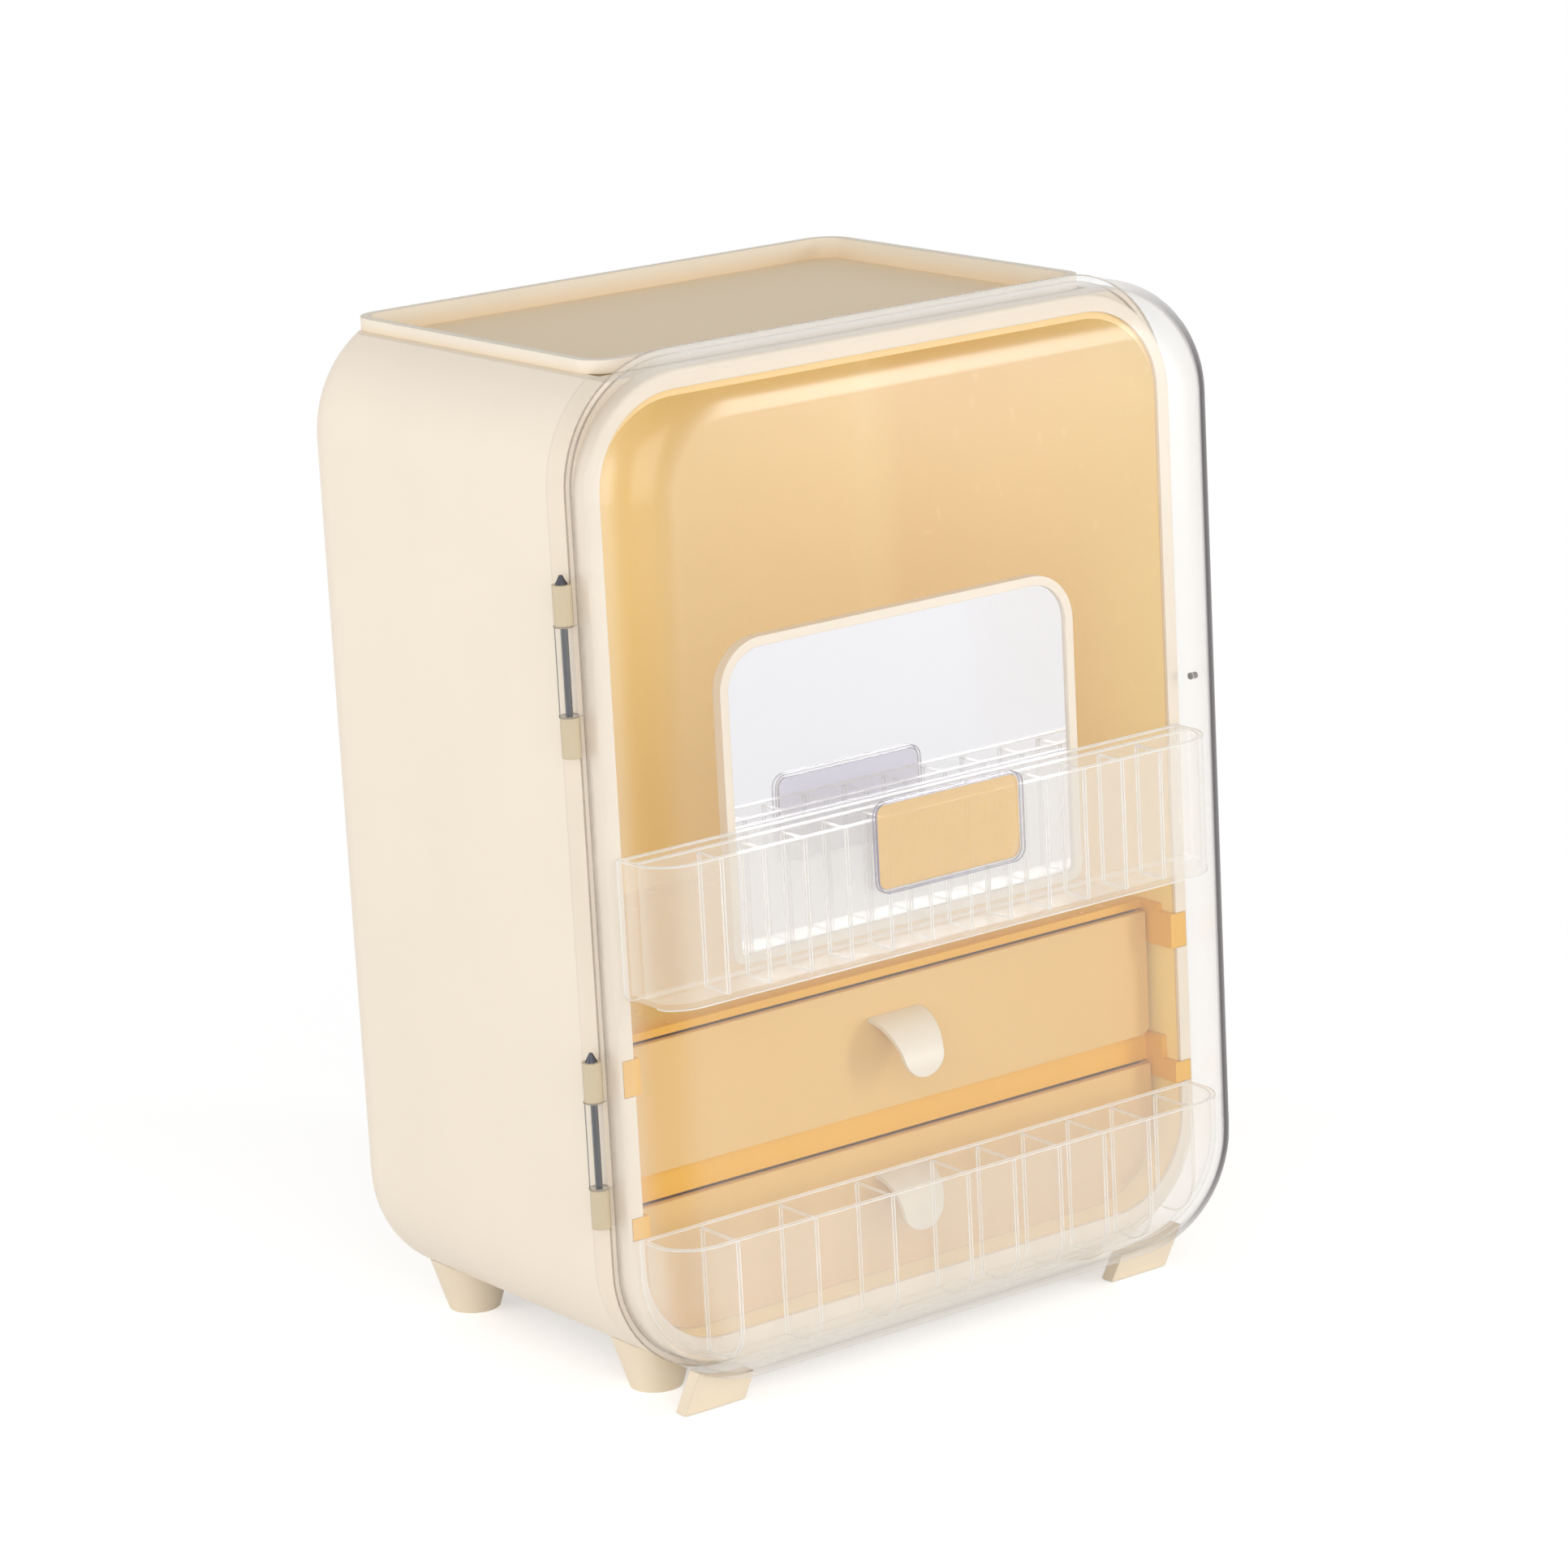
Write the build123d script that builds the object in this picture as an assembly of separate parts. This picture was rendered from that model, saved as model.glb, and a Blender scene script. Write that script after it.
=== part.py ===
from build123d import *
import os

# A countertop cosmetic organizer: a rounded cabinet with two drawers, a clear
# domed door that carries two divided racks and a mirror, and a tray on top.
# While it is modelled, X = 0 is the middle of the cabinet, Y = 0 is the plane
# where door and cabinet meet, with the door on the -Y side, and Z = 0 is the
# cabinet's underside. All sizes are in millimetres.

# Cabinet
width = 275.0
height = 378.8
corner_radius = 46.0
cabinet_depth = 173.0
rear_edge_radius = 17.0
casing_wall = 3.0
shoulder_drop = 8.3
frame_depth = 11.0

# Front frame: its opening, the lip that the door closes over, and the thin flange across the lip's front
opening_side_inset = 9.3
opening_bottom = 13.2
opening_radius = 34.0
lip_reach = 8.0
lip_inset = 3.3
lip_top_inset = 6.3
lip_edge_radius = 1.4
flange_thickness = 1.5
notch_depth = 5.0
upper_notch_bottom = 113.0
upper_notch_height = 14.0
lower_notch_bottom = 59.0
lower_notch_height = 8.5

# Inner liner and shelves
liner_wall = 2.8
liner_gap = 0.3
liner_fit = 0.2
shelf_thickness = 3.0
shelf_front = 9.5
upper_shelf_top = 129.5
middle_shelf_top = 76.3
shelf_apron_height = 11.0
ear_drawer_gap = 1.0
ear_thickness = 1.4
ear_fit = 0.2

# Top tray
tray_rim_height = 5.0
tray_rim_inset = 24.0
tray_rim_rear_inset = 1.4
tray_rim_width = 3.6
tray_rim_radius = 12.0
tray_overhang = 2.2
tray_wall_depth = 4.6
tray_floor_thickness = 1.5
tray_fit = 0.3

# Drawers
drawer_front_y = 6.0
drawer_rear_gap = 0.4
drawer_side_gap = 3.6
drawer_wall = 2.0
drawer_front_wall = 3.0
drawer_floor = 2.0
drawer_seat_gap = 0.3
upper_drawer_height = 49.2
lower_drawer_height = 51.0
lower_drawer_radius_less = 4.0

# Curled drawer handles: the lower one reaches less far, to stay clear of the door's lower rack
handle_width = 24.8
handle_tip_radius = 9.4
upper_handle_reach = 19.0
lower_handle_reach = 13.6
handle_drop = 21.5
handle_thickness = 2.0
handle_below_top = 12.4

# Door
door_depth = 37.0
door_wall = 2.5
door_edge_radius = 20.0
parting_gap = 0.3

# Hinges
hinge_axis_out = 3.7
knuckle_radius = 3.5
knuckle_gap = 0.3
arm_thickness = 2.6
pin_radius = 1.3
pin_running_gap = 0.05
pin_tip_height = 3.3
pin_head_radius = 2.3
lower_hinge_bottom = 64.6
upper_hinge_drop = 139.1
end_knuckle = 14.7
middle_knuckle = 32.6

# Door racks
rack_side_gap = 4.0
rack_wall = 1.8
rack_front_gap = 0.2
rack_rear_y = -9.0
rack_edge_radius = 16.0
rack_divider_thickness = 1.2
rack_divider_drop = 1.0
upper_rack_bottom = 149.0
upper_rack_height = 52.5
upper_rack_row_depth = 13.5
upper_rack_low_radius = 4.0
upper_rack_pitch = 18.6
upper_rack_least_end_cell = 26.0
lower_rack_bottom = 6.0
lower_rack_height = 53.0
lower_rack_radius = 40.0
lower_rack_wide_pitch = 35.5
lower_rack_wide_cells = 3
lower_rack_narrow_pitch = 22.0
lower_rack_end_cell = 26.5
lower_rack_least_end_cell = 17.0

# Mirror on the door
mirror_half_width = 82.0
mirror_bottom = 151.0
mirror_height = 120.0
mirror_top_radius = 19.0
mirror_bottom_radius = 6.0
mirror_rim = 3.6
mirror_thickness = 4.6
mirror_back = 1.4
mirror_glass_thickness = 2.0

# Label badge on the door's outer face
label_half_width = 34.0
label_side_shift = -3.5
label_bottom = 174.6
label_height = 34.0
label_radius = 5.0
label_thickness = 2.0
label_rim = 1.2
card_thickness = 0.8

# Catch stud in the door's side wall
catch_radius = 1.3
catch_height = 220.5
catch_y = -13.7
catch_stand = 0.5

# Feet
foot_height = 13.2
foot_top_radius = 14.0
foot_base_radius = 10.0
foot_side_inset = 35.5
front_foot_y = 28.0
rear_foot_back_inset = 24.0
door_foot_side_inset = 35.5
door_foot_width = 27.0
door_foot_thickness = 6.0
door_foot_base_y = -9.0
door_foot_lean = 7.0
door_foot_floor_gap = 0.5

# What follows from the driving sizes
half_width = width / 2
shoulder_height = height - shoulder_drop
opening_half = half_width - opening_side_inset
hinge_x = -half_width - hinge_axis_out
lip_half = half_width - lip_inset
lip_radius = corner_radius - lip_inset
lip_top = height - lip_top_inset
flange_back = flange_thickness - lip_reach
drawer_half = opening_half - drawer_side_gap
upper_drawer_bottom = middle_shelf_top + drawer_seat_gap
lower_drawer_bottom = opening_bottom + drawer_seat_gap
rim_half = half_width - tray_rim_inset
rim_back = cabinet_depth - tray_rim_rear_inset
rim_front = frame_depth + tray_fit
tray_top = shoulder_height + tray_rim_height
tray_floor_top = shoulder_height - tray_wall_depth + tray_floor_thickness
tray_bottom = shoulder_height - tray_wall_depth
basin_half = rim_half - tray_overhang
basin_back = rim_back - tray_overhang
basin_front = rim_front + tray_overhang
basin_radius = tray_rim_radius - tray_overhang
liner_top = tray_bottom - liner_gap
liner_bottom = opening_bottom - liner_wall
liner_radius = opening_radius + liner_wall
liner_half = opening_half + liner_wall
liner_front = flange_back + liner_fit
liner_back = cabinet_depth - casing_wall - liner_gap
liner_inner_back = liner_back - liner_wall
liner_inner_rear_radius = rear_edge_radius - liner_wall
liner_split_y = liner_inner_back - liner_inner_rear_radius
drawer_back_y = liner_split_y - drawer_rear_gap
lower_drawer_radius = opening_radius - lower_drawer_radius_less
door_inner_front = -door_depth + door_wall
rack_half_width = half_width - door_wall - rack_side_gap
lower_rack_first_divider = lower_rack_end_cell - rack_half_width
foot_half_spacing = half_width - foot_side_inset
door_foot_half_spacing = half_width - door_foot_side_inset
rear_foot_y = cabinet_depth - rear_foot_back_inset
rack_front_y = door_inner_front + rack_front_gap
rack_floor = rack_wall
row_back_y = rack_front_y + rack_wall + upper_rack_row_depth
mirror_front_y = rack_rear_y
shift_x = -(hinge_x - knuckle_radius + half_width) / 2
shift_y = (door_depth + label_thickness - cabinet_depth) / 2


def block(x0, x1, y0, y1, z0, z1):
    """A plain box between two corners."""
    centre = Pos((x0 + x1) / 2, (y0 + y1) / 2, (z0 + z1) / 2)
    return centre * Box(x1 - x0, y1 - y0, z1 - z0)


def front_view(y, z):
    """A plane that faces the front, at depth y and height z."""
    return Plane(origin=(0, y, z), x_dir=(1, 0, 0), z_dir=(0, -1, 0))


def slab(half, z0, z1, radius, y0, y1):
    """A plate whose outline has rounded corners seen from the front."""
    outline = RectangleRounded(2 * half, z1 - z0, radius)
    return extrude(front_view(y1, (z0 + z1) / 2) * outline, y1 - y0)


def flat_slab(half, y0, y1, radius, z0, z1):
    """A level plate whose outline has rounded corners seen from above."""
    outline = RectangleRounded(2 * half, y1 - y0, radius)
    return extrude(Pos(0, (y0 + y1) / 2, z0) * outline, z1 - z0)


def rounded_at(solid, y, radius):
    """The solid with every edge that lies in the plane at y rounded."""
    edges = []
    for edge in solid.edges():
        box = edge.bounding_box()
        if abs(box.min.Y - y) < 0.001 and abs(box.max.Y - y) < 0.001:
            edges.append(edge)
    return fillet(edges, radius)


def casing():
    """Rear shell: open at the front, with a flat top that seats the tray."""
    outer = rounded_at(slab(half_width, 0, height, corner_radius, frame_depth, cabinet_depth),
                       cabinet_depth, rear_edge_radius)
    inner = rounded_at(slab(half_width - casing_wall, casing_wall, height - casing_wall,
                            corner_radius - casing_wall, frame_depth - 1, cabinet_depth - casing_wall),
                       cabinet_depth - casing_wall, rear_edge_radius - casing_wall)
    above = block(-width, width, 0, 2 * cabinet_depth, shoulder_height, 2 * height)
    seat = flat_slab(basin_half + tray_fit, 0, basin_back + tray_fit, basin_radius + tray_fit,
                     tray_bottom - tray_fit, height)
    return outer - inner - above - seat


def front_frame():
    """Ring between casing and door, with the channel for the liner, side notches and hinge knuckles."""
    ring = slab(half_width, 0, height, corner_radius, 0, frame_depth)
    ring -= block(-width, width, 0, 2 * frame_depth, shoulder_height, 2 * height)
    lip = slab(lip_half, lip_inset, lip_top, lip_radius, -lip_reach, 0)
    ring += rounded_at(lip, -lip_reach, lip_edge_radius)
    ring -= slab(opening_half, opening_bottom, liner_top, opening_radius, -2 * lip_reach, 0)
    ring -= slab(liner_half + liner_fit, liner_bottom - liner_fit, liner_top + liner_fit,
                 liner_radius + liner_fit, flange_back, 2 * frame_depth)
    notches = ((upper_notch_bottom, upper_notch_height), (lower_notch_bottom, lower_notch_height))
    for bottom, tall in notches:
        reach = opening_half + notch_depth
        ring -= block(-reach, reach, -2 * lip_reach, flange_back, bottom, bottom + tall)
    for bottom in hinge_bottoms():
        low_end = bottom
        high_end = bottom + end_knuckle + middle_knuckle + 2 * knuckle_gap
        for z in (low_end, high_end):
            ring += knuckle(z, end_knuckle, 1)
    return ring - pin_bores()


def hinge_bottoms():
    return (lower_hinge_bottom, height - upper_hinge_drop)


def knuckle(z, length, side):
    """A hinge knuckle with its arm on the cabinet's side (1) or the door's (-1)."""
    barrel = Pos(hinge_x, 0, z + length / 2) * Cylinder(knuckle_radius, length)
    if side > 0:
        arm = block(hinge_x, -half_width + 1, knuckle_gap, arm_thickness + knuckle_gap, z, z + length)
    else:
        arm = block(hinge_x, -half_width + 1, -arm_thickness - parting_gap, -parting_gap, z, z + length)
    return barrel + arm


def hinge_height():
    return 2 * end_knuckle + middle_knuckle + 2 * knuckle_gap


def pin_bores():
    """Bores for both hinge pins."""
    bores = []
    for bottom in hinge_bottoms():
        middle = bottom + hinge_height() / 2
        bores.append(Pos(hinge_x, 0, middle) * Cylinder(pin_radius + pin_running_gap, hinge_height() + 2))
    return Compound(bores)


def hinge_pin(bottom):
    """Steel pin with a pointed head that rests on the top knuckle."""
    top = bottom + hinge_height()
    shaft = Pos(hinge_x, 0, (bottom + top) / 2) * Cylinder(pin_radius, top - bottom)
    tip = Pos(hinge_x, 0, top + pin_tip_height / 2) * Cone(pin_head_radius, pin_radius / 2, pin_tip_height)
    return shaft + tip


def liner_space(y_front, y_back, rear_radius):
    """The liner's inside, with its rear edges rounded."""
    space = slab(opening_half, opening_bottom, liner_top - liner_wall, opening_radius, y_front, y_back)
    return rounded_at(space, y_back, rear_radius)


def liner_shell():
    """Sleeve and back of the liner in one: open at the front, with rounded rear edges."""
    outer = slab(liner_half, liner_bottom, liner_top, liner_radius, liner_front, liner_back)
    outer = rounded_at(outer, liner_back, rear_edge_radius)
    return outer - liner_space(liner_front - 1, liner_inner_back, liner_inner_rear_radius)


def inner_liner():
    """Sleeve that runs from the frame's flange to the dished back."""
    return liner_shell() & block(-width, width, -cabinet_depth, liner_split_y, -height, 2 * height)


def liner_back_panel():
    """Dished back of the liner, which closes the sleeve."""
    return liner_shell() & block(-width, width, liner_split_y, cabinet_depth, -height, 2 * height)


def shelf(top, apron_height, ear_bottom, ear_height):
    """Shelf plate with an apron across its front and an ear in each of the flange's notches."""
    plate = liner_space(shelf_front, liner_inner_back, liner_inner_rear_radius)
    keep = block(-width, width, 0, cabinet_depth, top - shelf_thickness, top)
    keep += block(-width, width, shelf_front, shelf_front + shelf_thickness, top - apron_height, top)
    body = plate & keep
    low = ear_bottom + ear_fit
    high = ear_bottom + ear_height - ear_fit
    near = drawer_half + ear_drawer_gap
    wall = opening_half - ear_fit
    far = opening_half + notch_depth - ear_fit
    for side in (-1, 1):
        post = block(near, wall, 0, shelf_front + shelf_thickness, low, top)
        arm = block(near, wall, -lip_reach, 0, low, high)
        ear = block(wall, far, -lip_reach, -lip_reach + ear_thickness, low, high)
        for piece in (post, arm, ear):
            body += piece if side > 0 else mirror(piece, Plane.YZ)
    return body


def top_tray():
    """Shallow tray: its basin drops into the casing and its rim rests on the shoulder."""
    rim = flat_slab(rim_half, rim_front, rim_back, tray_rim_radius, shoulder_height, tray_top)
    basin = flat_slab(basin_half, basin_front, basin_back, basin_radius, tray_bottom, shoulder_height)
    hollow_radius = tray_rim_radius - tray_rim_width
    hollow = flat_slab(rim_half - tray_rim_width, rim_front + tray_rim_width, rim_back - tray_rim_width,
                       hollow_radius, tray_floor_top, 2 * height)
    return rim + basin - hollow


def drawer(bottom, tall, radius):
    """Open-topped drawer with a thicker front panel."""
    top = bottom + tall
    outer = slab(drawer_half, bottom, top + tall, radius, drawer_front_y, drawer_back_y)
    inner = slab(drawer_half - drawer_wall, bottom + drawer_floor, top + tall + drawer_wall,
                 radius - drawer_wall, drawer_front_y + drawer_front_wall, drawer_back_y - drawer_wall)
    return outer - inner - block(-width, width, 0, 2 * cabinet_depth, top, top + 3 * tall)


def handle(drawer_top, reach):
    """Ribbon that curls forward and down from the drawer's front and narrows to a round tip."""
    z = drawer_top - handle_below_top
    front = drawer_front_y - reach
    curl = Cylinder(reach, handle_width) - Cylinder(reach - handle_thickness, handle_width)
    curl = Pos(0, drawer_front_y, z - reach) * Rot(0, 90, 0) * curl
    ribbon = curl & block(-width, width, front, drawer_front_y, z - reach, z)
    half = handle_width / 2
    ribbon += block(-half, half, front, front + handle_thickness, z - handle_drop, z - reach)
    tip_centre = -handle_drop + handle_tip_radius
    outline = Polygon((-half, 1), (-handle_tip_radius, tip_centre), (handle_tip_radius, tip_centre),
                      (half, 1), align=None)
    outline += Pos(0, tip_centre) * Circle(handle_tip_radius)
    return ribbon & extrude(front_view(2 * reach, z) * outline, 4 * reach)


def door_shell():
    """Clear dome with a rounded front edge, and the middle knuckle of each hinge."""
    outer = rounded_at(slab(half_width, 0, height, corner_radius, -door_depth, -parting_gap),
                       -door_depth, door_edge_radius)
    inner = rounded_at(slab(half_width - door_wall, door_wall, height - door_wall,
                            corner_radius - door_wall, door_inner_front, 1),
                       door_inner_front, door_edge_radius - door_wall)
    shell = outer - inner
    shell -= Pos(half_width, catch_y, catch_height) * Rot(0, 90, 0) * Cylinder(catch_radius, 4 * door_wall)
    for bottom in hinge_bottoms():
        shell += knuckle(bottom + end_knuckle + knuckle_gap, middle_knuckle, -1)
    return shell - pin_bores()


def catch_stud():
    """Small stud set through the door's side wall, which snaps behind the lip."""
    length = door_wall + catch_stand
    middle = half_width - door_wall - catch_stand + length / 2
    return Pos(middle, catch_y, catch_height) * Rot(0, 90, 0) * Cylinder(catch_radius, length)


def lower_rack_form(inset, low):
    """The lower rack's form, brought in by inset: its front edges and lower corners follow the door."""
    sheet = slab(rack_half_width - inset, low, low + height, lower_rack_radius - inset,
                 rack_front_y + inset, rack_rear_y - inset)
    return rounded_at(sheet, rack_front_y + inset, rack_edge_radius - inset)


def lower_rack_space():
    return lower_rack_form(rack_wall, lower_rack_bottom + rack_floor)


def lower_rack():
    """Open-topped clear rack in the foot of the door."""
    top = lower_rack_bottom + lower_rack_height
    above = block(-width, width, -2 * door_depth, door_depth, top, 2 * height)
    return lower_rack_form(0, lower_rack_bottom) - lower_rack_space() - above


def upper_rack_form(inset, low, high):
    """The upper rack's form, brought in by inset: upright front edges rounded, lower corners nearly square."""
    half = rack_half_width - inset
    front = rack_front_y + inset
    rear = rack_rear_y - inset
    edge_radius = rack_edge_radius - inset
    low_radius = upper_rack_low_radius - inset
    plan = flat_slab(half, front, rear + 2 * edge_radius, edge_radius, low, high)
    return plan & slab(half, low, high + 2 * low_radius, low_radius, front, rear)


def upper_rack_space():
    top = upper_rack_bottom + upper_rack_height
    return upper_rack_form(rack_wall, upper_rack_bottom + rack_floor, top)


def upper_rack():
    """Upper rack with a wall between its front row and its rear trough."""
    top = upper_rack_bottom + upper_rack_height
    wall = block(-width, width, row_back_y, row_back_y + rack_wall, upper_rack_bottom, top)
    return upper_rack_form(0, upper_rack_bottom, top) - upper_rack_space() + (upper_rack_space() & wall)


def divider_set(positions, y0, y1, bottom, top, space):
    """Flat divider plates, one at each position, fitted to the rack's inside."""
    plates = []
    half = rack_divider_thickness / 2
    for x in positions:
        plates.append(block(x - half, x + half, y0, y1, bottom, top) & space)
    return Compound([plate.solid() for plate in plates])


def upper_divider_positions():
    """As many cells of one pitch as leave room for both end cells."""
    cells = int(2 * (rack_half_width - upper_rack_least_end_cell) / upper_rack_pitch)
    return [(i - cells / 2) * upper_rack_pitch for i in range(cells + 1)]


def lower_divider_positions():
    """Wide cells from the left, then as many narrow ones as leave room for the last cell."""
    wide = [lower_rack_first_divider + i * lower_rack_wide_pitch for i in range(lower_rack_wide_cells)]
    start = lower_rack_first_divider + lower_rack_wide_cells * lower_rack_wide_pitch
    narrow_cells = int((rack_half_width - lower_rack_least_end_cell - start) / lower_rack_narrow_pitch)
    narrow = [start + i * lower_rack_narrow_pitch for i in range(narrow_cells + 1)]
    return wide + narrow


def upper_rack_dividers():
    top = upper_rack_bottom + upper_rack_height - rack_divider_drop
    return divider_set(upper_divider_positions(), rack_front_y, row_back_y, upper_rack_bottom, top,
                       upper_rack_space())


def lower_rack_dividers():
    top = lower_rack_bottom + lower_rack_height - rack_divider_drop
    return divider_set(lower_divider_positions(), rack_front_y, rack_rear_y, lower_rack_bottom, top,
                       lower_rack_space())


def mirror_outline(inset, y0, y1):
    """The mirror's outline, brought in by inset: large top corners, small lower ones."""
    half = mirror_half_width - inset
    z0 = mirror_bottom + inset
    z1 = mirror_bottom + mirror_height - inset
    sheet = slab(half, z0, z1, max(mirror_bottom_radius - inset, 0.5), y0, y1)
    crown_radius = mirror_top_radius - inset
    crown = slab(half, z0 - crown_radius * 2, z1, crown_radius, y0, y1)
    return sheet & crown


def mirror_frame():
    """Shallow frame with a back plate and a rim that stands round the glass."""
    back_y = mirror_front_y + mirror_thickness
    frame = mirror_outline(0, mirror_front_y, back_y)
    return frame - mirror_outline(mirror_rim, mirror_front_y - 1, back_y - mirror_back)


def mirror_glass():
    back = mirror_front_y + mirror_thickness - mirror_back
    return mirror_outline(mirror_rim + 0.1, back - mirror_glass_thickness, back)


def label_plate():
    """Clear badge on the door's outer face, hollowed behind for its card."""
    front = -door_depth - label_thickness
    top = label_bottom + label_height
    plate = slab(label_half_width, label_bottom, top, label_radius, front, -door_depth)
    pocket = slab(label_half_width - label_rim, label_bottom + label_rim, top - label_rim,
                  label_radius - label_rim, -door_depth - card_thickness, -door_depth)
    return Pos(label_side_shift, 0, 0) * (plate - pocket)


def label_card():
    inset = label_rim + 0.1
    top = label_bottom + label_height
    card = slab(label_half_width - inset, label_bottom + inset, top - inset,
                label_radius - inset, -door_depth - card_thickness, -door_depth)
    return Pos(label_side_shift, 0, 0) * card


def cabinet_solid():
    return rounded_at(slab(half_width, 0, height, corner_radius, -door_depth, cabinet_depth),
                      cabinet_depth, rear_edge_radius)


def door_solid():
    return rounded_at(slab(half_width, 0, height, corner_radius, -door_depth, -parting_gap),
                      -door_depth, door_edge_radius)


def foot(x, y):
    """Round foot that tapers to the floor, cut to the cabinet's rounded underside."""
    tall = foot_height + corner_radius / 2
    slope = (foot_top_radius - foot_base_radius) / foot_height
    cone = Cone(foot_base_radius, foot_base_radius + slope * tall, tall)
    return Pos(x, y, tall / 2 - foot_height) * cone - cabinet_solid()


def door_foot(x):
    """Leaning foot under the door, which just clears the floor."""
    tall = foot_height + corner_radius / 4
    lean = door_foot_lean * tall / foot_height
    low = -foot_height + door_foot_floor_gap
    high = low + tall
    with BuildSketch(Plane.YZ) as side:
        with BuildLine():
            Polyline((door_foot_base_y, low), (door_foot_base_y + door_foot_thickness, low),
                     (door_foot_base_y + door_foot_thickness - lean, high),
                     (door_foot_base_y - lean, high), close=True)
        make_face()
    body = extrude(side.sketch, door_foot_width / 2, both=True)
    return Pos(x, 0, 0) * body - door_solid()


def build():
    lower_bottom, upper_bottom = hinge_bottoms()
    upper_drawer_top = upper_drawer_bottom + upper_drawer_height
    lower_drawer_top = lower_drawer_bottom + lower_drawer_height
    nodes = {
        "casing": casing(),
        "front_frame": front_frame(),
        "inner_liner": inner_liner(),
        "liner_back_panel": liner_back_panel(),
        "upper_shelf": shelf(upper_shelf_top, shelf_thickness, upper_notch_bottom, upper_notch_height),
        "middle_shelf": shelf(middle_shelf_top, shelf_apron_height, lower_notch_bottom, lower_notch_height),
        "top_tray": top_tray(),
        "upper_hinge_pin": hinge_pin(upper_bottom),
        "lower_hinge_pin": hinge_pin(lower_bottom),
        "upper_drawer": drawer(upper_drawer_bottom, upper_drawer_height, 2 * drawer_wall),
        "upper_drawer_handle": handle(upper_drawer_top, upper_handle_reach),
        "lower_drawer": drawer(lower_drawer_bottom, lower_drawer_height, lower_drawer_radius),
        "lower_drawer_handle": handle(lower_drawer_top, lower_handle_reach),
        "door_shell": door_shell(),
        "door_catch_stud": catch_stud(),
        "upper_rack": upper_rack(),
        "upper_rack_dividers": upper_rack_dividers(),
        "lower_rack": lower_rack(),
        "lower_rack_dividers": lower_rack_dividers(),
        "mirror_frame": mirror_frame(),
        "mirror_glass": mirror_glass(),
        "label_plate": label_plate(),
        "label_card": label_card(),
        "door_foot_left": door_foot(-door_foot_half_spacing),
        "door_foot_right": door_foot(door_foot_half_spacing),
    }
    for side, x in (("left", -foot_half_spacing), ("right", foot_half_spacing)):
        nodes["front_foot_" + side] = foot(x, front_foot_y)
        nodes["rear_foot_" + side] = foot(x, rear_foot_y)
    return nodes


# Write each piece in the part's own frame: the middle of the base at the origin
os.makedirs("parts", exist_ok=True)
for name, solid in build().items():
    export_step(Pos(shift_x, shift_y, foot_height) * solid, "parts/" + name + ".step")
print("hinge axis", hinge_x + shift_x, shift_y, "shift", shift_x, shift_y, foot_height)
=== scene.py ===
import math

import bmesh
import bpy
from mathutils import Matrix, Vector


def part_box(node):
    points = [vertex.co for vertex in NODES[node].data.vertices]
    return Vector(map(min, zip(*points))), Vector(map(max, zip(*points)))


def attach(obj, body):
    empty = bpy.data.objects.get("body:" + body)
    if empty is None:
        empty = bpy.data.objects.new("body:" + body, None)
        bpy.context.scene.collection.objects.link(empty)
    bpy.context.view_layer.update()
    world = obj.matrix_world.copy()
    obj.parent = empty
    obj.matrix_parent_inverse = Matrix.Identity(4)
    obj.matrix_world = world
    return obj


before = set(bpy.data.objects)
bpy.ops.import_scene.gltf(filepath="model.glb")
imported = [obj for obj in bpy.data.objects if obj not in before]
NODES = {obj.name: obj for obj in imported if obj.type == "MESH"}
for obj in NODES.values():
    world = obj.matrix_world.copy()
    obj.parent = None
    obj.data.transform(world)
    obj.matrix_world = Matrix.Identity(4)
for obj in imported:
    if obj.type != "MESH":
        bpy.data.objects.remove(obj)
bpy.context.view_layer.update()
MM = 0.001

# Camera, from the outline of the cabinet in the photograph: place, lens and sensor in millimetres,
# angles in degrees, and the nearest and furthest that it sees in metres
CAMERA_AT = (-1206.25, -1648.29, 730.70)
CAMERA_AZIMUTH = -36.279
CAMERA_ELEVATION = 14.454
CAMERA_ROLL = -3.049
CAMERA_LENS = 127.93
CAMERA_SENSOR = 36.0
CAMERA_NEAR = 0.05
CAMERA_FAR = 50

# Colours, as they are read on a screen
CREAM = (243, 230, 212)
FRAME_CREAM = (240, 226, 206)
KNUCKLE_CREAM = (206, 190, 160)
TRAY_RIM_CREAM = (244, 234, 217)
# Painted shade: the tray's floor, low in its basin, gets a darker cream than its rim
TRAY_FLOOR_PAINTED_SHADE = (240, 219, 187)
FOOT_CREAM = (241, 226, 202)
HANDLE_CREAM = (237, 228, 211)
AMBER = (240, 215, 138)
# Painted shade: the deep amber of the shelf fronts stands in for the shade in the gaps between the drawers
SHELF_FRONT_PAINTED_SHADE = (233, 178, 48)
DRAWER_AMBER = (229, 190, 120)
# Painted shade on the liner's front edge, darker than the amber around it
LINER_EDGE_PAINTED_SHADE = (230, 194, 128)
PEACH = (245, 205, 131)
CARD_BACK = (226, 224, 236)
SILVER = (240, 240, 245)
STEEL = (84, 84, 90)
DARK = (62, 60, 60)
CLEAR = (254, 254, 254)
# Painted shade: the grey of the dark line painted into the rounded edges of the clear door
PAINTED_LINE_GREY = (132, 125, 130)
# Painted highlight and painted edge lines, on bars along the cut edges of clear plastic
PAINTED_EDGE_HIGHLIGHT = (255, 254, 252)
DOOR_RIM_PAINTED_LINE = (196, 182, 164)
BADGE_PAINTED_LINE = (176, 170, 184)

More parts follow.
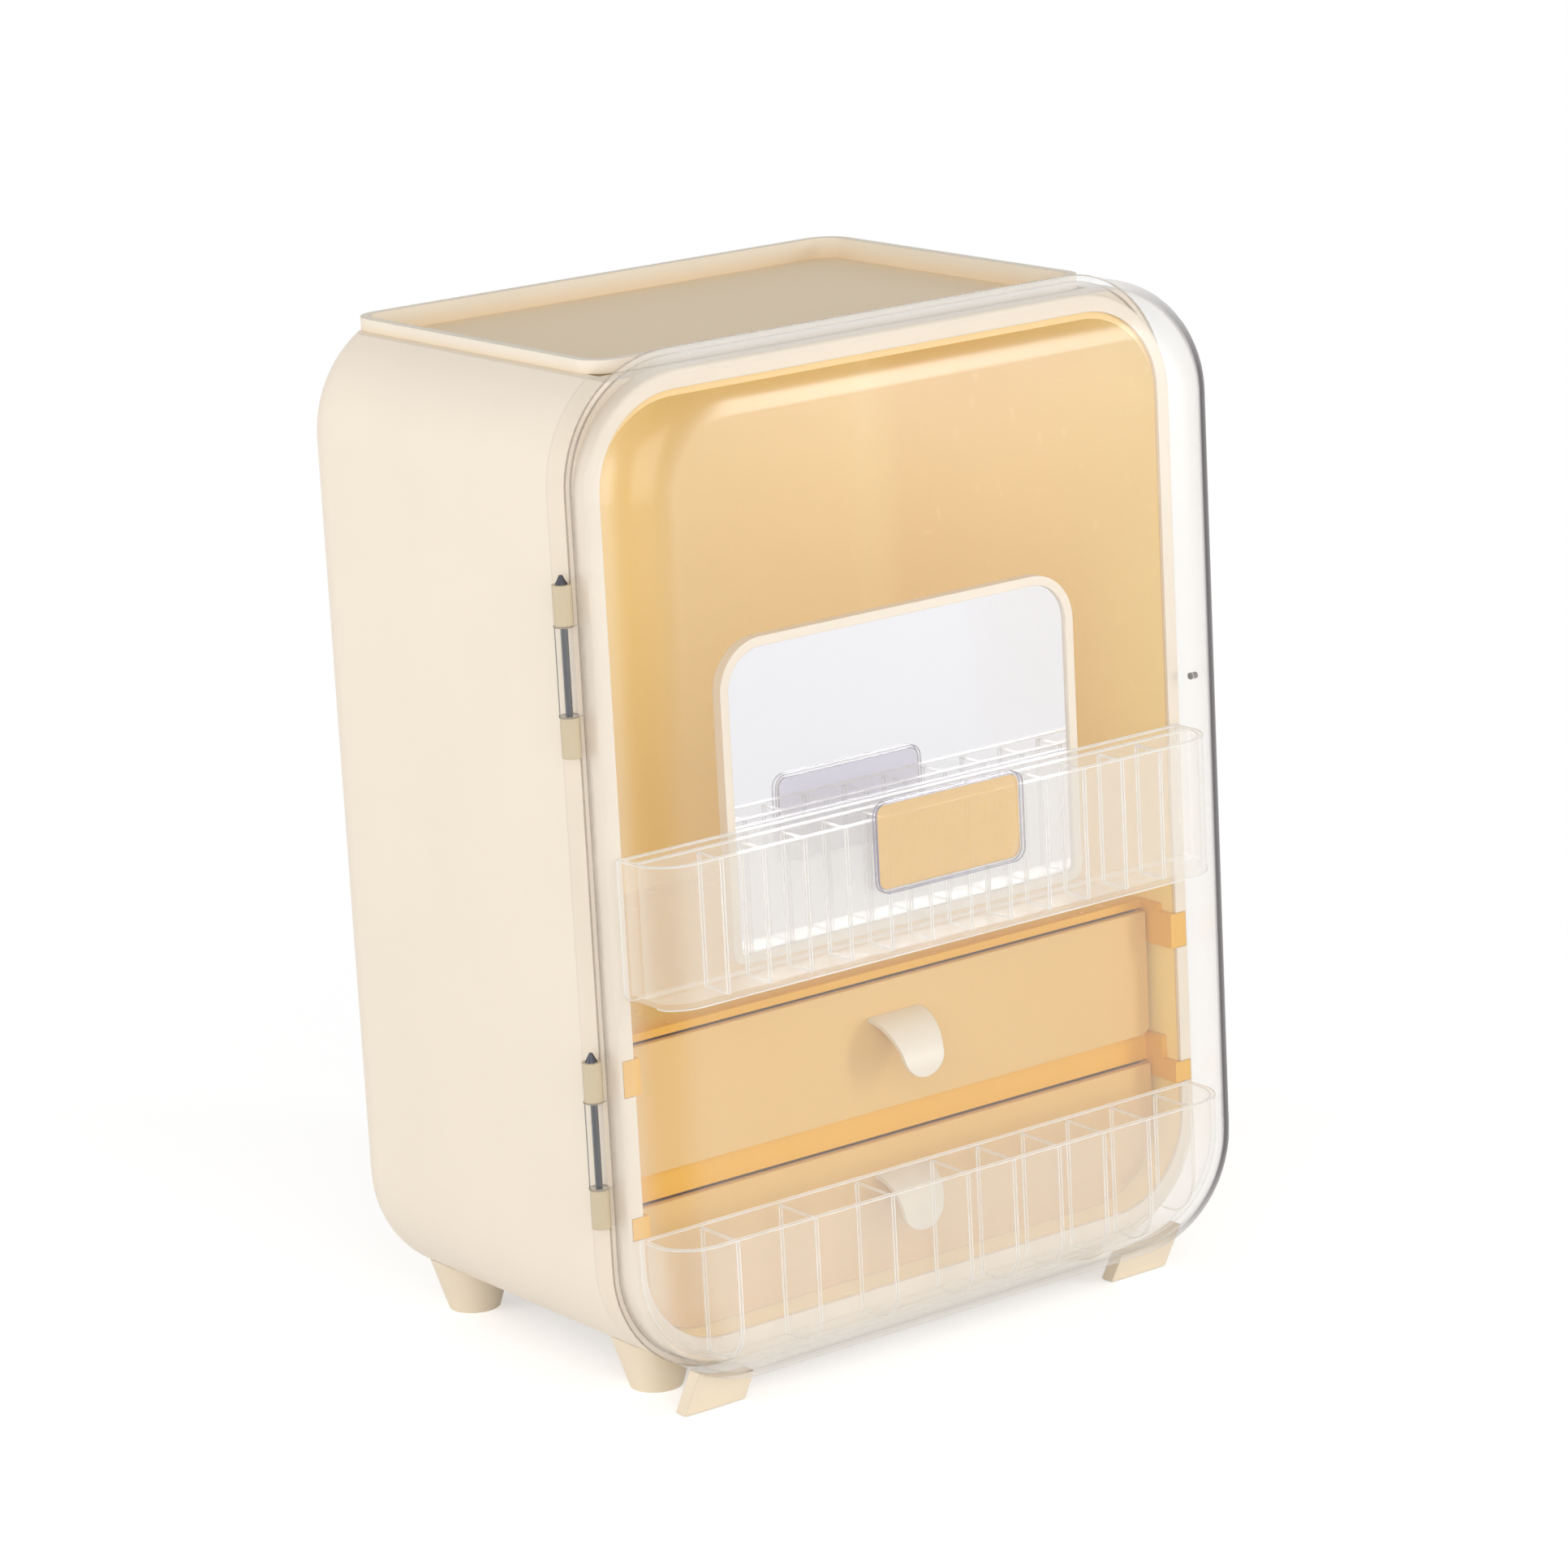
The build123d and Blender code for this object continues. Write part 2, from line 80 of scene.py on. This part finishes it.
# Colours as light, with an alpha of 1
WHITE = (1, 1, 1, 1)
FLOOR_WHITE = (0.86, 0.86, 0.86, 1)
MILK = (0.98, 0.96, 0.92, 1)
MILK_PAINTED_LIGHT = (1, 0.96, 0.88, 1)

# How amber deepens in its clouds, for each channel
AMBER_DEEPER = (0.98, 0.93, 0.84)

# The point that the lamps face and the half width of the floor, in metres
LAMP_TARGET = Vector((0, 0, 0.2))
FLOOR_HALF = 6.0

# How the floor fades to plain white, in metres from the object, and how much it is lifted close by
FLOOR_NEAR = 0.2
FLOOR_FAR = 0.6
FLOOR_LIFT = 0.44

# Strength of the world's light from the horizon and from overhead
WORLD_LOW = 0.66
WORLD_HIGH = 0.44

# Clear plastic: the painted glow of its milky haze, light it gives off to brighten the haze, and its glossy
# skin
MILK_PAINTED_GLOW = 0.2
MILK_ROUGHNESS = 0.3
SKIN_ROUGHNESS = 0.24
SKIN_GRAZING = 0.5

# How fast a share falls off the grazing view, and off an axis that the surface faces along
GRAZING_POWER = 5.0
FACING_POWER = 12.0

# Where the painted dark line in the door's rounded edge, a painted shade for the dark surroundings seen
# through that edge, starts and is whole, as a share of a grazing view
LINE_START = 0.5
LINE_END = 0.62

# The line is kept off the flat front and sides: the squared share of the surface's direction that
# points forward lies between these where the line is whole
ROUND_FRONT = 0.88
ROUND_SIDE = 0.1

# The line fades on edges that face down, which the floor lights: the share that points up where the
# line starts and where it is whole
LINE_LOW = -0.8
LINE_HIGH = -0.1

# Bars on cut edges: the least angle of an edge in degrees, and its least length and the weld in millimetres
SHARP_EDGE = 60.0
SHORTEST_EDGE = 0.4
WELD = 0.001

# The corners that make the six faces of a bar
BAR_FACES = ((3, 2, 1, 0), (4, 5, 6, 7), (0, 1, 5, 4), (1, 2, 6, 5), (2, 3, 7, 6), (3, 0, 4, 7))

casing_low, casing_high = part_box("casing")
door_low, door_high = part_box("door_shell")
pin_low, pin_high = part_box("upper_hinge_pin")
tray_low, tray_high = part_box("top_tray")
liner_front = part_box("inner_liner")[0][1]

# The door's outer surface is told from its inner one by which way it faces from this point
DOOR_MIDDLE = (
    (casing_low[0] + casing_high[0]) / 2,
    (pin_low[1] + pin_high[1]) / 2 - 3 * MM,
    (door_low[2] + door_high[2]) / 2,
)

# Second colours, which take over along an axis: at the hinge knuckles; on the tray's floor, as painted shade
# low in its basin; at the liner's front edge, as painted shade; and on the shelves behind their fronts, whose
# deep amber front stays as painted shade for the gaps between the drawers
KNUCKLE_CHANGE = {"axis": "X", "start": casing_low[0] - 0.6 * MM, "end": casing_low[0] - 0.9 * MM,
                  "second": KNUCKLE_CREAM}
# Painted shade on the tray's floor, darker towards the bottom of its basin
TRAY_SHADE_CHANGE = {"axis": "Z", "start": tray_high[2] - 1.7 * MM, "end": tray_low[2] + 2.1 * MM,
               "second": TRAY_FLOOR_PAINTED_SHADE}
# Painted shade on the liner's front edge
LINER_EDGE_SHADE_CHANGE = {"axis": "Y", "start": liner_front + 0.5 * MM, "end": liner_front + 0.1 * MM,
                "second": LINER_EDGE_PAINTED_SHADE}
# The shelf fronts keep their deep amber as painted shade; behind them the shelves turn to the plain amber
SHELF_SHADE_CHANGE = {"axis": "Y", "start": casing_low[1], "end": casing_low[1] + 12 * MM, "second": AMBER}


def linear(colour, shade=(1, 1, 1)):
    """A screen colour from 0 to 255 as the light it stands for; the shade scales each channel."""
    light = []
    for value, share in zip(colour, shade):
        c = value / 255
        light.append(share * (c / 12.92 if c <= 0.04045 else ((c + 0.055) / 1.055) ** 2.4))
    return (*light, 1)


class Nodes:
    """Adds and links the shader nodes of a material or a world."""

    def __init__(self, owner, output="ShaderNodeOutputMaterial"):
        owner.use_nodes = True
        self.owner = owner
        self.tree = owner.node_tree
        self.tree.nodes.clear()
        self.output = self.add(output)

    def add(self, kind, inputs=None, **settings):
        """A new node; each input, by name or number, is linked to a socket or set to a value."""
        node = self.tree.nodes.new(kind)
        for key, value in settings.items():
            setattr(node, key, value)
        for key, value in (inputs or {}).items():
            if isinstance(value, bpy.types.NodeSocket):
                self.tree.links.new(value, node.inputs[key])
            else:
                node.inputs[key].default_value = value
        return node

    def surface(self, shader):
        """Use the shader for the surface, and give back what it dresses."""
        self.tree.links.new(shader, self.output.inputs["Surface"])
        return self.owner

    def place(self, kind):
        """A texture coordinate, such as Object or Normal."""
        return self.add("ShaderNodeTexCoord").outputs[kind]

    def axis_of(self, kind, axis):
        """One axis of a texture coordinate."""
        return self.add("ShaderNodeSeparateXYZ", {"Vector": self.place(kind)}).outputs[axis]

    def math(self, operation, *values):
        return self.add("ShaderNodeMath", dict(enumerate(values)), operation=operation).outputs["Value"]

    def vector_math(self, operation, output, *values):
        return self.add("ShaderNodeVectorMath", dict(enumerate(values)), operation=operation).outputs[output]

    def ramp(self, source, low, high, out_low=0.0, out_high=1.0):
        """A value moved from one range to another, and kept within it."""
        inputs = {"Value": source, "From Min": low, "From Max": high, "To Min": out_low, "To Max": out_high}
        return self.add("ShaderNodeMapRange", inputs).outputs["Result"]

    def noise(self, scale, detail):
        """Noise in the part's own space, with its scale per metre."""
        inputs = {"Vector": self.place("Object"), "Scale": scale, "Detail": detail}
        return self.add("ShaderNodeTexNoise", inputs).outputs["Fac"]

    def cloud(self, scale, detail, low=0.0, high=1.0, spread=0.2):
        """Noise stretched from low to high; the spread is how far from its middle it is stretched."""
        return self.ramp(self.noise(scale, detail), 0.5 - spread, 0.5 + spread, low, high)

    def mix_colour(self, factor, first, second):
        inputs = {"Factor": factor, "A": first, "B": second}
        return self.add("ShaderNodeMix", inputs, data_type="RGBA").outputs["Result"]

    def mix_shader(self, factor, first, second):
        return self.add("ShaderNodeMixShader", {"Fac": factor, 1: first, 2: second}).outputs["Shader"]

    def change_along(self, tint, axis, start, end, second):
        """A tint that turns into a second colour along an axis, from start to end, in metres."""
        return self.mix_colour(self.ramp(self.axis_of("Object", axis), start, end), tint, linear(second))

    def bump(self, height, strength, depth, edge_radius=0.0):
        """A bump, over edges that the Bevel node rounds if they get a radius; lengths in millimetres."""
        inputs = {"Height": height, "Strength": strength, "Distance": depth * MM}
        if edge_radius > 0:
            bevel = self.add("ShaderNodeBevel", {"Radius": edge_radius * MM}, samples=4)
            inputs["Normal"] = bevel.outputs["Normal"]
        return self.add("ShaderNodeBump", inputs).outputs["Normal"]

    def principled(self, inputs):
        return self.add("ShaderNodeBsdfPrincipled", inputs).outputs["BSDF"]

    def see_through(self, colour):
        return self.add("ShaderNodeBsdfTransparent", {"Color": colour}).outputs["BSDF"]

    def facing_share(self, axis, exponent=FACING_POWER):
        """How squarely the surface faces along one of the part's own axes, 0 to 1."""
        return self.math("POWER", self.math("ABSOLUTE", self.axis_of("Normal", axis)), exponent)

    def outer_side(self, middle):
        """1 where the surface faces away from the middle of the part, else 0."""
        away = self.vector_math("SUBTRACT", "Vector", self.place("Object"), middle)
        along = self.vector_math("DOT_PRODUCT", "Value", away, self.place("Normal"))
        flip = self.ramp(self.add("ShaderNodeNewGeometry").outputs["Backfacing"], 0, 1, 1, -1)
        return self.math("GREATER_THAN", self.math("MULTIPLY", along, flip), 0.0)

    def painted_dark_line(self, facing, middle):
        """How much of the painted dark line, a painted shade, covers a part's rounded outer edge at a grazing
        view, 0 to 1.
        """
        forward = self.facing_share("Y", 2.0)
        shares = (
            self.outer_side(middle),
            self.ramp(self.facing_share("Z", 2.0), 0, 1, 1, 0),
            self.ramp(self.axis_of("Normal", "Z"), LINE_LOW, LINE_HIGH),
            self.ramp(forward, ROUND_FRONT, 1, 1, 0),
            self.ramp(forward, 0, ROUND_SIDE),
        )
        dark = self.ramp(facing, LINE_START, LINE_END)
        for share in shares:
            dark = self.math("MULTIPLY", dark, share)
        return dark

    def seen(self):
        """1 for rays that the camera sends, directly, through glass or by a mirror, else 0."""
        path = self.add("ShaderNodeLightPath").outputs
        direct = self.math("MAXIMUM", path["Is Camera Ray"], path["Is Glossy Ray"])
        return self.math("MAXIMUM", direct, path["Is Transmission Ray"])


def material(name):
    return Nodes(bpy.data.materials.new(name))


def moulded(name, colour, roughness, grain, edge=0.5, shade=0.96, change=None):
    """Moulded plastic: faint cloudy colour, fine grain, and edges rounded by some millimetres."""
    n = material(name)
    darker = linear(colour, (shade, shade, shade))
    tint = n.mix_colour(n.cloud(scale=22, detail=3, spread=0.15), linear(colour), darker)
    if change:
        tint = n.change_along(tint, **change)
    return n.surface(n.principled({
        "Base Color": tint,
        "Roughness": n.cloud(scale=900, detail=2, low=roughness * 0.9, high=roughness * 1.1),
        "Normal": n.bump(n.noise(scale=1400, detail=1), strength=grain, depth=0.1, edge_radius=edge),
        "Specular IOR Level": 0.4,
    }))


def amber(name, colour, roughness, glow, change=None):
    """Amber plastic with a glossy skin and a painted glow: it gives off light of its own colour, which
    brightens the shaded inside of the cabinet.
    """
    n = material(name)
    tint = n.mix_colour(n.cloud(scale=7, detail=2), linear(colour), linear(colour, AMBER_DEEPER))
    if change:
        tint = n.change_along(tint, **change)
    return n.surface(n.principled({
        "Base Color": tint,
        "Roughness": n.cloud(scale=120, detail=2, low=roughness * 0.9, high=roughness * 1.1),
        "Normal": n.bump(n.noise(scale=18, detail=1), strength=0.03, depth=0.3),
        "Specular IOR Level": 0.3,
        "Emission Color": linear(colour),
        "Emission Strength": glow,
    }))


def clear(name, haze, rim, gloss, shares=None, middle=None):
    """Thin clear plastic: see-through, with a milky haze that has a painted glow, a glossy skin, bright edges
    and a painted dark line.

    The shares give the haze that is added where the surface faces along an axis, which with its glow paints a
    sheen on those faces, and rim what is added at a grazing angle, which paints the bright edges. A part
    whose outer edges get the painted dark line gives its middle.
    """
    n = material(name)
    facing = n.add("ShaderNodeLayerWeight", {"Blend": 0.5}).outputs["Facing"]
    grazing = n.math("POWER", facing, GRAZING_POWER)
    tint = linear(CLEAR)
    # The painted dark line greys the see-through tint on rounded outer edges
    if middle:
        tint = n.mix_colour(n.painted_dark_line(facing, middle), tint, linear(PAINTED_LINE_GREY))
    milky_haze_and_glow = n.principled({
        "Base Color": MILK,
        "Roughness": MILK_ROUGHNESS,
        "Emission Color": MILK_PAINTED_LIGHT,
        "Emission Strength": MILK_PAINTED_GLOW,
    })
    amount = n.cloud(scale=12, detail=2, low=haze * 0.8, high=haze * 1.2)
    for axis, strength in (shares or {}).items():
        amount = n.math("MULTIPLY_ADD", n.facing_share(axis), strength, amount)
    amount = n.math("MULTIPLY_ADD", grazing, rim, amount)
    skin = n.add("ShaderNodeBsdfGlossy", {
        "Roughness": SKIN_ROUGHNESS,
        "Normal": n.bump(n.noise(scale=16, detail=1), strength=0.02, depth=0.3),
    })
    hazy = n.mix_shader(amount, n.see_through(tint), milky_haze_and_glow)
    return n.surface(n.mix_shader(n.ramp(grazing, 0, 1, gloss, SKIN_GRAZING), hazy, skin.outputs["BSDF"]))


def painted_edge_look(name, colour, opacity):
    """Painted light on the cut edge of clear plastic: a painted highlight in a pale colour, a painted edge
    line in a darker one.
    """
    n = material(name)
    skin = n.principled({"Base Color": linear(colour), "Roughness": 0.15})
    share = n.cloud(scale=45, detail=2, low=opacity * 0.55, high=opacity)
    return n.surface(n.mix_shader(share, n.see_through(WHITE), skin))


def card(name, front, back, glow):
    """Card that is printed on its front alone; its back has a painted glow, light it gives off that brightens
    it in the mirror.
    """
    n = material(name)
    side = n.ramp(n.axis_of("Normal", "Y"), -0.1, 0.1)
    return n.surface(n.principled({
        "Base Color": n.mix_colour(side, linear(front), linear(back)),
        "Roughness": n.cloud(scale=300, detail=2, low=0.45, high=0.55),
        "Normal": n.bump(n.noise(scale=900, detail=1), strength=0.04, depth=0.05),
        "Emission Color": linear(back),
        "Emission Strength": n.ramp(side, 0, 1, 0, glow),
    }))


def metal(name, colour, roughness, grain):
    """Metal with faint darker streaks and a fine grain; no grain makes it even and smooth."""
    n = material(name)
    shade = 1 - 0.15 * grain
    darker = linear(colour, (shade, shade, shade))
    inputs = {
        "Metallic": 1.0,
        "Base Color": n.mix_colour(n.cloud(scale=30, detail=2), linear(colour), darker),
        "Roughness": n.cloud(scale=40, detail=3, low=roughness * 0.8, high=roughness * 1.2),
    }
    if grain > 0:
        inputs["Normal"] = n.bump(n.noise(scale=800, detail=1), strength=0.05 * grain, depth=0.05)
    return n.surface(n.principled(inputs))


def dress(look, *names):
    """Give a material to every slot of the named nodes."""
    for name in names:
        node = NODES[name]
        if not node.material_slots:
            node.data.materials.append(look)
        for slot in node.material_slots:
            slot.material = look


def make_camera():
    azimuth, elevation, roll = (math.radians(a) for a in (CAMERA_AZIMUTH, CAMERA_ELEVATION, CAMERA_ROLL))
    back = Vector((math.sin(azimuth) * math.cos(elevation), -math.cos(azimuth) * math.cos(elevation),
                   math.sin(elevation)))
    right = (-back).cross(Vector((0, 0, 1))).normalized()
    up = right.cross(-back)
    x_axis = math.cos(roll) * right + math.sin(roll) * up
    y_axis = math.cos(roll) * up - math.sin(roll) * right
    camera = bpy.data.objects.new("camera", bpy.data.cameras.new("camera"))
    camera.data.lens = CAMERA_LENS
    camera.data.sensor_width = CAMERA_SENSOR
    camera.data.clip_start = CAMERA_NEAR
    camera.data.clip_end = CAMERA_FAR
    turn = Matrix((x_axis, y_axis, back)).transposed().to_4x4()
    camera.matrix_world = Matrix.Translation(Vector(CAMERA_AT) * MM) @ turn
    bpy.context.scene.collection.objects.link(camera)
    bpy.context.scene.camera = camera


def lamp(name, direction, distance, size, level):
    """A soft lamp whose level is the light it gives a white surface that faces it."""
    data = bpy.data.lights.new(name, "AREA")
    data.shape = "RECTANGLE"
    data.size, data.size_y = size
    data.energy = level * (math.pi * distance) ** 2
    light = bpy.data.objects.new(name, data)
    light.location = LAMP_TARGET + Vector(direction).normalized() * distance
    light.rotation_mode = "QUATERNION"
    light.rotation_quaternion = (LAMP_TARGET - light.location).to_track_quat("-Z", "Y")
    bpy.context.scene.collection.objects.link(light)


def make_world():
    """A world that is white where the camera sees it, and lights the object less from overhead."""
    world = bpy.data.worlds.new("studio")
    bpy.context.scene.world = world
    n = Nodes(world, "ShaderNodeOutputWorld")
    strength = n.ramp(n.axis_of("Generated", "Z"), 0, 1, WORLD_LOW, WORLD_HIGH)
    dim = n.add("ShaderNodeBackground", {"Color": WHITE, "Strength": strength})
    white = n.add("ShaderNodeBackground", {"Color": WHITE, "Strength": 1.0})
    n.surface(n.mix_shader(n.seen(), dim.outputs["Background"], white.outputs["Background"]))


def make_floor():
    """A pale floor that takes the object's shadow and turns plain white further out."""
    mesh = bpy.data.meshes.new("floor")
    corners = [(x * FLOOR_HALF, y * FLOOR_HALF, 0) for x, y in ((-1, -1), (1, -1), (1, 1), (-1, 1))]
    mesh.from_pydata(corners, [], [(0, 1, 2, 3)])
    floor = bpy.data.objects.new("floor", mesh)
    bpy.context.scene.collection.objects.link(floor)
    n = material("floor")
    seen = n.seen()
    matt = n.add("ShaderNodeBsdfDiffuse", {"Color": FLOOR_WHITE})
    lift = n.add("ShaderNodeEmission", {"Color": WHITE, "Strength": n.math("MULTIPLY", seen, FLOOR_LIFT)})
    near = n.add("ShaderNodeAddShader", {0: matt.outputs["BSDF"], 1: lift.outputs["Emission"]})
    white = n.add("ShaderNodeEmission", {"Color": WHITE})
    distance = n.vector_math("LENGTH", "Value", n.place("Object"))
    far = n.math("MULTIPLY", n.ramp(distance, FLOOR_NEAR, FLOOR_FAR), seen)
    mesh.materials.append(n.surface(n.mix_shader(far, near.outputs["Shader"], white.outputs["Emission"])))


def edge_bars(name, node, body, look, radius):
    """Thin bars along the sharp outer edges of a clear node, with their radius in millimetres."""
    source = bmesh.new()
    source.from_mesh(NODES[node].data)
    bmesh.ops.remove_doubles(source, verts=source.verts, dist=WELD * MM)
    corners = []
    faces = []
    for edge in source.edges:
        if len(edge.link_faces) != 2 or not edge.is_convex or edge.calc_length() < SHORTEST_EDGE * MM:
            continue
        if math.degrees(edge.calc_face_angle()) < SHARP_EDGE:
            continue
        low, high = (vertex.co for vertex in edge.verts)
        along = (high - low).normalized()
        side = (edge.link_faces[0].normal + edge.link_faces[1].normal).normalized()
        other = along.cross(side)
        first = len(corners)
        for end in (low, high):
            for shift in (side, other, -side, -other):
                corners.append(end + shift * radius * MM)
        faces += [tuple(first + i for i in quad) for quad in BAR_FACES]
    source.free()
    mesh = bpy.data.meshes.new(name)
    mesh.from_pydata(corners, [], faces)
    mesh.materials.append(look)
    piece = bpy.data.objects.new(name, mesh)
    bpy.context.scene.collection.objects.link(piece)
    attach(piece, body)


make_camera()
lamp("front", direction=(-0.5, -0.85, 0.18), distance=2.4, size=(2.1, 2.1), level=0.49)
lamp("strip", direction=(0.57, -0.8, 0.06), distance=2.2, size=(0.35, 1.3), level=0.36)
lamp("side", direction=(-1.0, 0.3, 0.2), distance=2.2, size=(1.2, 1.2), level=0.25)
make_world()
make_floor()

# Cream plastic
dress(moulded("cream_plastic", CREAM, roughness=0.42, grain=0.08, shade=0.985), "casing")
dress(moulded("frame_plastic", FRAME_CREAM, roughness=0.38, grain=0.08, change=KNUCKLE_CHANGE),
      "front_frame", "mirror_frame")
dress(moulded("tray_plastic", TRAY_RIM_CREAM, roughness=0.55, grain=0.12, change=TRAY_SHADE_CHANGE), "top_tray")
dress(moulded("foot_plastic", FOOT_CREAM, roughness=0.5, grain=0.12), "front_foot_left", "front_foot_right",
      "rear_foot_left", "rear_foot_right", "door_foot_left", "door_foot_right")
dress(moulded("handle_plastic", HANDLE_CREAM, roughness=0.35, grain=0.06),
      "upper_drawer_handle", "lower_drawer_handle")

# Amber plastic, with a painted glow; painted shade at the liner's front edge and on the shelf fronts
dress(amber("amber_plastic", AMBER, roughness=0.25, glow=0.13, change=LINER_EDGE_SHADE_CHANGE),
      "inner_liner", "liner_back_panel")
dress(amber("shelf_plastic", SHELF_FRONT_PAINTED_SHADE, roughness=0.25, glow=0.05, change=SHELF_SHADE_CHANGE),
      "upper_shelf", "middle_shelf")
dress(amber("drawer_plastic", DRAWER_AMBER, roughness=0.2, glow=0.0), "upper_drawer", "lower_drawer")

# Clear plastic, with a painted glow in its haze, painted sheen on some faces and a painted dark line on the
# door's edges
# The door's haze on its sides, top and bottom paints a silvery sheen on those faces
dress(clear("door_plastic", haze=0.01, rim=0.2, gloss=0.035, shares={"Y": 0.04, "X": 0.10, "Z": 0.22},
            middle=DOOR_MIDDLE), "door_shell")
dress(clear("badge_plastic", haze=0.02, rim=0.2, gloss=0.05), "label_plate")
# The racks' haze makes their floors milky and, with its painted glow, brightens their walls and floors
dress(clear("rack_plastic", haze=0.02, rim=0.25, gloss=0.02, shares={"X": 0.12, "Y": 0.06, "Z": 0.25}),
      "upper_rack", "lower_rack")
dress(clear("divider_plastic", haze=0.03, rim=0.25, gloss=0.02), "upper_rack_dividers", "lower_rack_dividers")

# Card, mirror, steel and dark plastic
dress(card("card", PEACH, CARD_BACK, glow=0.25), "label_card")
dress(metal("mirror_surface", SILVER, roughness=0.02, grain=0.0), "mirror_glass")
dress(metal("pin_steel", STEEL, roughness=0.3, grain=1.0), "upper_hinge_pin", "lower_hinge_pin")
dress(moulded("dark_plastic", DARK, roughness=0.4, grain=0.1, edge=0.2), "door_catch_stud")

# Cut edges of the clear plastic, with painted highlights and painted edge lines on bars along them
painted_highlight_bars = painted_edge_look("painted_highlight_bars", PAINTED_EDGE_HIGHLIGHT, opacity=0.8)
door_rim_painted_bars = painted_edge_look("door_rim_painted_bars", DOOR_RIM_PAINTED_LINE, opacity=0.6)
badge_painted_bars = painted_edge_look("badge_painted_edge", BADGE_PAINTED_LINE, opacity=0.6)
for rack in ("upper_rack", "upper_rack_dividers", "lower_rack", "lower_rack_dividers"):
    edge_bars(rack + "_edges", rack, "door", painted_highlight_bars, radius=0.3)
edge_bars("door_rim_edges", "door_shell", "door", door_rim_painted_bars, radius=0.4)
edge_bars("badge_edges", "label_plate", "door", badge_painted_bars, radius=0.3)

scene = bpy.context.scene
scene.view_settings.view_transform = "Standard"
scene.cycles.transparent_max_bounces = 32
